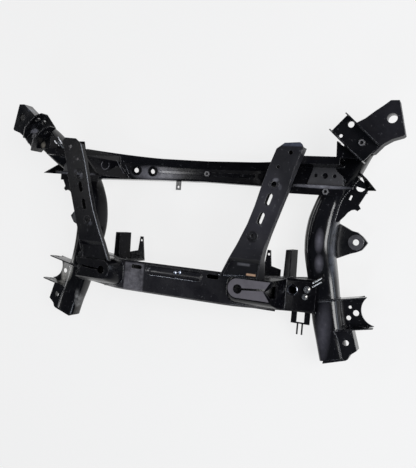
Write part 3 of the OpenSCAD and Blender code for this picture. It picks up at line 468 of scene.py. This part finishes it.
def add_piece(name, verts, faces, mat, replaces=None):
    """A new piece on the one body, which may stand for a CAD node."""
    mesh = bpy.data.meshes.new(name)
    mesh.from_pydata([tuple(v) for v in verts], [], faces)
    mesh.validate()
    obj = bpy.data.objects.new(name, mesh)
    scene.collection.objects.link(obj)
    obj.data.materials.append(mat)
    smooth(obj)
    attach(obj, "root")
    if replaces:
        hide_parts(replaces)


def band(faces, base, size, i, k, flip=False):
    """Adds the faces between rings i and k of a stack of rings that have the same number of points."""
    for j in range(size):
        n = (j + 1) % size
        face = (base + i * size + j, base + i * size + n, base + k * size + n, base + k * size + j)
        faces.append(face[::-1] if flip else face)


def stadium(half, radius, sides):
    """Points (u, v) round a slot, from half its straight length, its end radius and the points per end."""
    points = []
    for end in (1, -1):
        for j in range(sides):
            a = math.pi * (j / (sides - 1) - 0.5)
            points.append((end * (half + radius * math.cos(a)), end * radius * math.sin(a)))
    return points


# The side rails, swept again with fine steps so that their bends read as smooth tube

RAIL_X, RAIL_Z, RAIL_W, RAIL_H, HORN_X, HORN_Z = 359, 78, 76, 86, 530, 235
# the right rail from rear to front: centre, width and height
RAIL_PATH = [
    (RAIL_X + 65, -304, RAIL_Z + 10, RAIL_W - 4, RAIL_H - 32),
    (RAIL_X + 52, -258, RAIL_Z + 9, RAIL_W - 4, RAIL_H - 31),
    (RAIL_X + 37, -204, RAIL_Z + 4, RAIL_W - 2, RAIL_H - 29),
    (RAIL_X + 18, -112, RAIL_Z - 2, RAIL_W, RAIL_H - 22),
    (RAIL_X + 3, -30, RAIL_Z, RAIL_W, RAIL_H),
    (RAIL_X + 5, 30, RAIL_Z, RAIL_W, RAIL_H),
    (RAIL_X + 15, 75, RAIL_Z + 1, RAIL_W - 6, RAIL_H - 2),
    (RAIL_X + 29, 115, RAIL_Z + 6, RAIL_W - 12, RAIL_H - 8),
    (RAIL_X + 50, 150, RAIL_Z + 22, RAIL_W - 12, RAIL_H - 14),
    (HORN_X - 94, 186, HORN_Z - 87, RAIL_W - 10, RAIL_H - 18),
    (HORN_X - 66, 225, HORN_Z - 46, RAIL_W - 8, RAIL_H - 26),
    (HORN_X - 30, 254, HORN_Z - 28, RAIL_W - 14, RAIL_H - 38),
]
RAIL_LAST = len(RAIL_PATH) - 1
RAIL_SIDES, RAIL_STEPS = 56, 8
# 1 makes the section an ellipse, less makes it squarer
RAIL_SQUARE = 0.62
# how far along the path, either way, the direction is taken
RAIL_LOOK = 0.05
# how far inside the section the skin and the inner wall lie
SKIN_IN, WALL_IN = 0.2, 3.0


def rail_at(k):
    """Centre, width and height of the rail at a place along a smooth curve through its path."""
    i = min(int(k), RAIL_LAST - 1)
    t = k - i
    a, b, c, d = (RAIL_PATH[min(max(j, 0), RAIL_LAST)] for j in (i - 1, i, i + 1, i + 2))
    return [0.5 * (2 * q + (r - p) * t + (2 * p - 5 * q + 4 * r - s) * t * t
                   + (3 * q - p - 3 * r + s) * t ** 3)
            for p, q, r, s in zip(a, b, c, d)]


def signed_power(v, e):
    """A power of a number's size, with its sign kept."""
    return math.copysign(abs(v) ** e, v)


def rail_ring(k, shrink):
    """A rounded box section across the rail."""
    x, y, z, width, height = rail_at(k)
    ahead, behind = rail_at(min(k + RAIL_LOOK, RAIL_LAST)), rail_at(max(k - RAIL_LOOK, 0))
    along = Vector(ahead[:3]) - Vector(behind[:3])
    along.normalize()
    across = along.cross(Vector((0, 0, 1))).normalized()
    up = across.cross(along)
    ring = []
    for j in range(RAIL_SIDES):
        a = 2 * math.pi * j / RAIL_SIDES
        ring.append((Vector((x, y, z))
                     + across * ((width / 2 - shrink) * signed_power(math.cos(a), RAIL_SQUARE))
                     + up * ((height / 2 - shrink) * signed_power(math.sin(a), RAIL_SQUARE))) * MM)
    return ring


def rail(side):
    """A hollow rail: its skin from end to end, then its inner wall back again."""
    keys = [i / RAIL_STEPS for i in range(RAIL_LAST * RAIL_STEPS + 1)]
    rings = [rail_ring(k, SKIN_IN) for k in keys] + [rail_ring(k, WALL_IN) for k in reversed(keys)]
    verts = [Vector((side * v.x, v.y, v.z)) for ring in rings for v in ring]
    faces = []
    for i in range(len(rings)):
        band(faces, 0, RAIL_SIDES, i, (i + 1) % len(rings), flip=side > 0)
    which = "right" if side > 0 else "left"
    add_piece(which + "_rail_tube", verts, faces, RAIL, replaces=which + "_side_rail")


for side in SIDES:
    rail(side)


# Weld beads, laid where the cut faces of one piece end on another

WELD_R, WELD_STEP, WELD_WAVE = 2.0 * MM, 1.5 * MM, 6.0 * MM
WELD_SIDES, WELD_SWELL, WELD_TIP = 7, 0.16, 0.5
WELD_MIN_POINTS = 10
# a face lies on a host that is this near and faces it
TOUCHING, FACING = 0.25 * MM, -0.6
EASE_ROUNDS = 3


def merged(name):
    """A copy of a CAD node's mesh with its doubled vertices joined."""
    mesh = bmesh.new()
    mesh.from_mesh(nodes[name].data)
    bmesh.ops.remove_doubles(mesh, verts=mesh.verts, dist=MERGE)
    mesh.verts.index_update()
    mesh.faces.index_update()
    return mesh


def seam(piece, host):
    """Edges of a piece that bound its faces lying on the host, as pairs of vertex numbers."""
    lying = set()
    for face in piece.faces:
        points = [v.co for v in face.verts] + [face.calc_center_median()]
        found = [host.find_nearest(q, TOUCHING) for q in points]
        if all(f[0] is not None for f in found) and found[-1][1].dot(face.normal) < FACING:
            lying.add(face.index)
    return [tuple(v.index for v in e.verts) for e in piece.edges
            if len(e.link_faces) == 2 and len(lying.intersection(f.index for f in e.link_faces)) == 1]


def runs(edges):
    """Chains of joined edges, the open ones from their ends."""
    ends = {}
    for a, b in edges:
        ends.setdefault(a, []).append(b)
        ends.setdefault(b, []).append(a)
    chains = []
    for start in sorted(ends, key=lambda v: (len(ends[v]) == 2, v)):
        while ends[start]:
            chain = [start]
            while ends[chain[-1]]:
                here = chain[-1]
                step = ends[here].pop(0)
                ends[step].remove(here)
                chain.append(step)
            chains.append(chain)
    return chains


def spaced(points, step):
    """The same line with points at even steps, its corners eased."""
    lengths = [0.0]
    for a, b in zip(points, points[1:]):
        lengths.append(lengths[-1] + (b - a).length)
    count = max(int(lengths[-1] / step), 2)
    line, i = [], 0
    for k in range(count + 1):
        at = lengths[-1] * k / count
        while i < len(points) - 2 and lengths[i + 1] < at:
            i += 1
        span = max(lengths[i + 1] - lengths[i], 1e-9)
        line.append(points[i].lerp(points[i + 1], min((at - lengths[i]) / span, 1.0)))
    for _ in range(EASE_ROUNDS):
        eased = [(a + b * 2 + c) / 4 for a, b, c in zip(line, line[1:], line[2:])]
        line = [line[0]] + eased + [line[-1]]
    return line


def bead(line, radius, wave, verts, faces):
    """A rippled rod along a line, with closed ends, added to verts and faces."""
    base, side = len(verts), None
    for i, point in enumerate(line):
        along = (line[min(i + 1, len(line) - 1)] - line[max(i - 1, 0)]).normalized()
        side = side or along.orthogonal()
        side = (side - along * side.dot(along)).normalized()
        other = along.cross(side)
        swell = radius * (1 + WELD_SWELL * math.sin(2 * math.pi * i * WELD_STEP / wave))
        if i in (0, len(line) - 1):
            swell *= WELD_TIP
        for j in range(WELD_SIDES):
            a = 2 * math.pi * j / WELD_SIDES
            verts.append(point + (side * math.cos(a) + other * math.sin(a)) * swell)
    for i in range(len(line) - 1):
        band(faces, base, WELD_SIDES, i, i + 1)
    faces.append(tuple(base + j for j in reversed(range(WELD_SIDES))))
    faces.append(tuple(len(verts) - WELD_SIDES + j for j in range(WELD_SIDES)))


def welds(name, pairs):
    """Beads along the seams of each (piece, host), kept inside the CAD box."""
    verts, faces = [], []
    for piece_name, host_name in pairs:
        piece, host = merged(piece_name), BVHTree.FromBMesh(merged(host_name))
        piece.verts.ensure_lookup_table()
        for chain in runs(seam(piece, host)):
            line = spaced([piece.verts[i].co.copy() for i in chain], WELD_STEP)
            if len(line) >= WELD_MIN_POINTS:
                bead(line, WELD_R, WELD_WAVE, verts, faces)
    low, high = cad_box
    verts = [Vector([min(max(c, a), b) for c, a, b in zip(v, low, high)]) for v in verts]
    add_piece(name, verts, faces, WELD)


for which in ("left", "right"):
    rail_name = which + "_side_rail"
    on_rail = ["front_crossmember", "front_closing_plate", "rear_crossmember", "rear_lower_pressing"]
    on_rail += [which + tail for tail in ("_corner_gusset", "_front_link_bracket", "_side_ear",
                                          "_rear_link_bracket", "_rear_mount_plate", "_horn_plate",
                                          "_horn_bracket")]
    welds(which + "_rail_welds", [(n, rail_name) for n in on_rail])
    welds(which + "_cross_welds", [(which + "_tower", "rear_crossmember"),
                                   (which + "_arm_clevis", "rear_lower_pressing"),
                                   (which + "_pointed_tab", "rear_lower_pressing"),
                                   (which + "_corner_gusset", "front_crossmember")])
welds("seam_welds", [("rear_crossmember", "rear_lower_pressing"), ("hole_tab", "front_closing_plate"),
                     ("harness_bracket", "rear_lower_pressing")])


# The closing plate of the front crossmember, drilled below the flanged holes

PLATE_HOLES = [(-250.6, 152, 22), (-200.3, 152, 19)]
DRILL_LENGTH, DRILL_SIDES = 400, 40


def drilled(name, holes, new_name, mat):
    """A CAD plate with upright round holes, each (x, y, diameter), in place of the plain one."""
    plate = bpy.data.meshes.new(new_name + "_blank")
    merged(name).to_mesh(plate)
    blank = bpy.data.objects.new(new_name + "_blank", plate)
    drill = bmesh.new()
    for x, y, d in holes:
        bmesh.ops.create_cone(drill, cap_ends=True, segments=DRILL_SIDES, radius1=d / 2 * MM,
                              radius2=d / 2 * MM, depth=DRILL_LENGTH * MM,
                              matrix=Matrix.Translation((x * MM, y * MM, 0)))
    bits = bpy.data.meshes.new(new_name + "_bits")
    drill.to_mesh(bits)
    tool = bpy.data.objects.new(new_name + "_bits", bits)
    for obj in (blank, tool):
        scene.collection.objects.link(obj)
    cutter = blank.modifiers.new("holes", "BOOLEAN")
    cutter.operation, cutter.object = "DIFFERENCE", tool
    done = blank.evaluated_get(bpy.context.evaluated_depsgraph_get()).to_mesh()
    verts = [v.co.copy() for v in done.vertices]
    faces = [tuple(f.vertices) for f in done.polygons]
    for obj in (blank, tool):
        bpy.data.objects.remove(obj)
    add_piece(new_name, verts, faces, mat, replaces=name)


drilled("front_closing_plate", PLATE_HOLES, "drilled_closing_plate", BLACK)


# Turned details: collars round the flanged holes, plugs in the others, and sleeves below the horn holes

TURNED_SIDES = 40
UPRIGHT = (0, 0, 1)
# how far a sleeve or lip reaches into the sheet that it hangs from
SEAT = 0.3
COLLAR = [(7.4, -2.6), (7.6, 0.8), (8.2, 2.0), (9.3, 2.5), (10.6, 2.1), (11.8, 0.9), (13.2, 0.2),
          (13.4, -1.0)]
PLUG = [(0.3, 1.3), (2.6, 1.2), (3.4, 0.7), (6.2, 0.9), (8.4, 0.7), (9.2, 0.0), (9.3, -0.8), (7.3, -0.9),
        (7.3, -3)]
# the holes on one side: centre, and how steeply the sheet rises outwards there
FRONT_HOLES = [(172, 151, 52.7, 0.186), (222, 151, 66.2, 0.337)]
HORN_Y, HORN_LIP = 278, 12
SLEEVE_IN, SLEEVE_OUT, SLEEVE_DEPTH = 11.1, 14, 18
SLEEVE = [(SLEEVE_IN, 0), (SLEEVE_OUT, 0), (SLEEVE_OUT, -SLEEVE_DEPTH), (SLEEVE_IN, -SLEEVE_DEPTH)]


def turned(profile, closed, centre, axis, verts, faces):
    """A profile of (radius, height) points turned round an axis; an open one is capped."""
    turn = Vector(UPRIGHT).rotation_difference(Vector(axis)).to_matrix()
    base, count = len(verts), len(profile)
    for r, h in profile:
        for j in range(TURNED_SIDES):
            a = 2 * math.pi * j / TURNED_SIDES
            verts.append((Vector(centre) + turn @ Vector((r * math.cos(a), r * math.sin(a), h))) * MM)
    for i in range(count if closed else count - 1):
        here, there = base + i * TURNED_SIDES, base + (i + 1) % count * TURNED_SIDES
        for j in range(TURNED_SIDES):
            n = (j + 1) % TURNED_SIDES
            faces.append((here + j, there + j, there + n, here + n))
    if not closed:
        last = base + (count - 1) * TURNED_SIDES
        faces.append(tuple(base + j for j in range(TURNED_SIDES)))
        faces.append(tuple(last + j for j in reversed(range(TURNED_SIDES))))


def turned_piece(name, profile, closed, places, mat):
    """One piece from the same profile turned at several places, each a centre and an axis."""
    verts, faces = [], []
    for centre, axis in places:
        turned(profile, closed, centre, axis, verts, faces)
    add_piece(name, verts, faces, mat)


def front_holes(side):
    """Centre and axis of each front hole on one side."""
    return [((side * x, y, z), (-side * slope, 0, 1)) for x, y, z, slope in FRONT_HOLES]


turned_piece("hole_collars", COLLAR, True, front_holes(-1), DULL)
turned_piece("hole_plugs", PLUG, False, front_holes(1), DULL)
turned_piece("horn_sleeves", SLEEVE, True,
             [((side * HORN_X, HORN_Y, HORN_Z - HORN_LIP + SEAT), UPRIGHT) for side in SIDES], MATT)


# Lips that hang below the brace slots, in painted shade

BRACE_Z, SHEET = 265, 3
BRACE_SLOTS = [(273, 82), (257.5, 36)]
SLOT_LENGTH, SLOT_WIDTH, SLOT_TURN, SLOT_SIDES = 30, 13, math.radians(72), 20
LIP_DEPTH, LIP_IN, LIP_OUT = 20, 0.15, 1.8
LIP_TOP, LIP_BOTTOM = BRACE_Z - SHEET + SEAT, BRACE_Z - LIP_DEPTH


def slot_lips():
    """A wall round each slot, from just inside the sheet down."""
    rings = [(LIP_IN, LIP_TOP), (LIP_OUT, LIP_TOP), (LIP_OUT, LIP_BOTTOM), (LIP_IN, LIP_BOTTOM)]
    half, radius = (SLOT_LENGTH - SLOT_WIDTH) / 2, SLOT_WIDTH / 2
    cos, sin = math.cos(SLOT_TURN), math.sin(SLOT_TURN)
    verts, faces = [], []
    for side in SIDES:
        for x, y in BRACE_SLOTS:
            base = len(verts)
            for out, z in rings:
                verts += [Vector((side * (x + u * cos - v * sin), y + u * sin + v * cos, z)) * MM
                          for u, v in stadium(half, radius + out, SLOT_SIDES)]
            for i in range(len(rings)):
                band(faces, base, 2 * SLOT_SIDES, i, (i + 1) % len(rings), flip=side > 0)
    add_piece("slot_lips", verts, faces, PIT)


slot_lips()


# The rounded pan of the oval dish, set in its recess with a rolled rim

DISH_HALF, DISH_RADIUS, DISH_Y, DISH_TOP, DISH_SIDES = 73, 12, -130, 196, 24
DISH_SKIN = 0.35
# rings of the pan: how far outside the recess, and how high over its rim
PAN = [(2.6, 0.05), (2.0, 0.5), (0.9, 0.6), (-0.4, -0.2), (-1.8, -2.2), (-3.6, -4.9), (-6.0, -7.2),
       (-9.0, -8.3), (-11.6, -8.6)]


def dish():
    """The pan as a thin closed shell, its underside from the middle out and its top back in."""
    rings = [(out, h - DISH_SKIN) for out, h in reversed(PAN)] + PAN
    size = 2 * DISH_SIDES
    verts, faces = [], []
    for out, h in rings:
        verts += [Vector((u, DISH_Y + v, DISH_TOP + h)) * MM
                  for u, v in stadium(DISH_HALF, DISH_RADIUS + out, DISH_SIDES)]
    for i in range(len(rings) - 1):
        band(faces, 0, size, i, i + 1)
    faces.append(tuple(reversed(range(size))))
    faces.append(tuple((len(rings) - 1) * size + j for j in range(size)))
    add_piece("dish_pan", verts, faces, REAR)


dish()


# Bolt heads in the dish

HEAD = [(0.3, 4.2), (1.4, 4.1), (3.0, 3.6), (4.3, 2.6), (4.8, 1.4), (4.8, -0.6)]
BOLTS, BOLT_Z, BOLT_LEAN = ((2.3, -128.3), (15.9, -126.0)), 187.6, (0.25, -0.3, 1)
turned_piece("dish_bolts", HEAD, False, [((x, y, BOLT_Z), BOLT_LEAN) for x, y in BOLTS], ZINC)


# Rods: ribs pressed in the gussets, in a lighter paint as painted highlight; bright rods along folds and rims
# as painted highlights; and painted highlight strokes beside the left horn

ROD_STEP, ARC_STEPS = 3 * MM, 16
RIB_Y, RIB_Z, RIB_HALF_WIDTH, RIB_HALF_HEIGHT = 155, 150, 13, 17
RIB_START, RIB_SWEEP, RIB_RADIUS = 50, 260, 1.7
# the plane of the steep end face of the right gusset
END_POINT, END_NORMAL = (278.2, 155, 150.9), (0.99, 0.13, -0.1)
END_RIBS = ([(272.2, 174.1, 101.6), (267.4, 156.4, 88.7), (253.6, 136.4, 85.5)],
            [(264.3, 177.2, 78.2), (253.1, 158.2, 77.8), (243.3, 138.0, 74.0)])
LIT_RIM, LIT_RIM_RADIUS = (314, -138, 138.5), 13.2
BRACE_EDGE = [(164, -110), (185, -65), (203, -30), (225, 20), (240, 65), (252, 110), (264, 150), (282, 201)]
BRACE_EDGE_Z = 264.6
FOLD_GLINT_RADIUS, HORN_GLINT_RADIUS = 0.9, 2.2


def rods(name, lines, radius, mat):
    """Thin smooth rods along lines of points."""
    verts, faces = [], []
    for line in lines:
        bead(spaced([Vector(q) * MM for q in line], ROD_STEP), radius * MM, math.inf, verts, faces)
    add_piece(name, verts, faces, mat)


def arc(start, sweep):
    """Even turns in radians, from a start and a sweep in degrees."""
    return [math.radians(start + sweep * k / ARC_STEPS) for k in range(ARC_STEPS + 1)]


def gusset_rib(side):
    """A C-shaped rib on the steep end face of a corner gusset."""
    line = []
    for a in arc(RIB_START, RIB_SWEEP):
        y, z = RIB_Y + RIB_HALF_WIDTH * math.cos(a), RIB_Z + RIB_HALF_HEIGHT * math.sin(a)
        slide = END_NORMAL[1] * (y - END_POINT[1]) + END_NORMAL[2] * (z - END_POINT[2])
        line.append((side * (END_POINT[0] - slide / END_NORMAL[0]), y, z))
    return line


def collar_arc(start, sweep):
    """Part of the painted highlight on the rim of the collar at the right end of the rear crossmember."""
    x, y, z = LIT_RIM
    return [(x + LIT_RIM_RADIUS * math.cos(a), y + LIT_RIM_RADIUS * math.sin(a), z) for a in arc(start, sweep)]


end_ribs = [[(side * x, y, z) for x, y, z in line] for side in SIDES for line in END_RIBS]
rods("gusset_ribs", [gusset_rib(1), gusset_rib(-1), *end_ribs], RIB_RADIUS, RIB_GLINT)
# bright rods along folds and rims, as painted highlights
rods("fold_highlights", [
    # the left brace's inner edge
    [(-x, y, BRACE_EDGE_Z) for x, y in BRACE_EDGE],
    # the right tower's front edge, the edge of the brace foot above it, and the rear rim of the dish
    [(150, -112.2, 239.4), (226, -112.2, 239.4)],
    [(170, -109.8, 252.7), (226, -105.0, 252.9)],
    [(-73, -143.0, 196.4), (73, -143.0, 196.4)],
    collar_arc(100, 150), collar_arc(-70, 110),
], FOLD_GLINT_RADIUS, EDGE)
# painted highlight strokes beside the left horn
rods("horn_highlights", [
    [(-425.2, 228.6, 194.2), (-418.2, 217, 189.4), (-414.3, 208.9, 184.2)],
    [(-414.2, 213.8, 220), (-414.5, 207.9, 210.7), (-414.9, 205.6, 206.0)],
    [(-420.9, 204.4, 194.1), (-419.1, 201.8, 191.6)],
], HORN_GLINT_RADIUS, HORN_GLINT)


# Stage: floor, light and camera

FLOOR_REACH, FLOOR_ROUGHNESS = 60, 0.9
FLOOR_TONE, GLOW_TONE, GLOW_SHARE = (0.86, 0.86, 0.86, 1.0), (0.92, 0.92, 0.92, 1.0), 0.85
WORLD_TONE, WORLD_STRENGTH = (0.70, 0.80, 1.0, 1.0), 0.06
WHITE, SKY = (1, 1, 1), (0.80, 0.88, 1.0)
# name, place, what it points at, size, watts and colour
LAMPS = (
    ("over", (1.9, 0.2, 2.4), (0, 0, 0.1), (1.3, 1.3), 62, WHITE),
    ("key", (-2.4, 0.2, 0.95), (0, 0, 0.1), (2.2, 0.6), 18, WHITE),
    ("strip", (-1.22, 0.45, 2.1), (0, 0, 0.1), (0.8, 0.30), 4.5, WHITE),
    ("side", (2.4, 0.6, 0.9), (0.2, 0, 0.1), (1.6, 0.8), 14, SKY),
    ("rear", (0.4, -1.75, 2.2), (-0.3, 0.1, 0.1), (0.9, 0.5), 12, SKY),
)
CAMERA_AT, CAMERA_LENS, SENSOR_WIDTH, CLIP_START = (0.6894, 0.038, 1.4943), 42.31, 36, 0.05
CAMERA_RIGHT, CAMERA_BACK = (0.9045, 0.0812, -0.4187), (0.417, 0.0375, 0.9081)


def floor():
    """A pale floor that takes the object's shadow and shows as pale as the photograph's background."""
    r = FLOOR_REACH
    mesh = bpy.data.meshes.new("floor")
    mesh.from_pydata([(-r, -r, 0), (r, -r, 0), (r, r, 0), (-r, r, 0)], [], [(0, 1, 2, 3)])
    obj = bpy.data.objects.new("floor", mesh)
    scene.collection.objects.link(obj)
    mat, tree, shader = new_material("pale_floor")
    shader.inputs["Base Color"].default_value = FLOOR_TONE
    shader.inputs["Roughness"].default_value = FLOOR_ROUGHNESS
    shader.inputs["Specular IOR Level"].default_value = 0.0
    glow = tree.nodes.new("ShaderNodeEmission")
    glow.inputs["Color"].default_value = GLOW_TONE
    mix = tree.nodes.new("ShaderNodeMixShader")
    path = tree.nodes.new("ShaderNodeLightPath")
    seen = path.outputs["Is Camera Ray"]
    for ray in ("Is Glossy Ray", "Is Transmission Ray"):
        seen = larger(tree, seen, path.outputs[ray])
    tree.links.new(ramp(tree, seen, 0.0, 1.0, 0.0, GLOW_SHARE), mix.inputs["Fac"])
    tree.links.new(shader.outputs["BSDF"], mix.inputs[1])
    tree.links.new(glow.outputs["Emission"], mix.inputs[2])
    out = [n for n in tree.nodes if n.type == "OUTPUT_MATERIAL"][0]
    tree.links.new(mix.outputs["Shader"], out.inputs["Surface"])
    obj.data.materials.append(mat)


def softbox(name, place, target, size, power, colour):
    """A rectangular lamp that faces its target."""
    data = bpy.data.lights.new(name, "AREA")
    data.color = colour
    data.shape = "RECTANGLE"
    data.size, data.size_y = size
    data.energy = power
    obj = bpy.data.objects.new(name, data)
    obj.location = place
    obj.rotation_euler = (Vector(target) - Vector(place)).to_track_quat("-Z", "Y").to_euler()
    scene.collection.objects.link(obj)


floor()
world = bpy.data.worlds.new("studio")
world.use_nodes = True
world.node_tree.nodes["Background"].inputs["Color"].default_value = WORLD_TONE
world.node_tree.nodes["Background"].inputs["Strength"].default_value = WORLD_STRENGTH
scene.world = world
for lamp in LAMPS:
    softbox(*lamp)

camera = bpy.data.objects.new("camera", bpy.data.cameras.new("camera"))
camera.data.lens = CAMERA_LENS
camera.data.sensor_width = SENSOR_WIDTH
camera.data.clip_start = CLIP_START
back = Vector(CAMERA_BACK).normalized()
right = Vector(CAMERA_RIGHT)
right = (right - back * right.dot(back)).normalized()
turn = Matrix((right, back.cross(right), back)).transposed().to_4x4()
camera.matrix_world = Matrix.Translation(CAMERA_AT) @ turn
scene.collection.objects.link(camera)
scene.camera = camera
scene.view_settings.view_transform = "Standard"
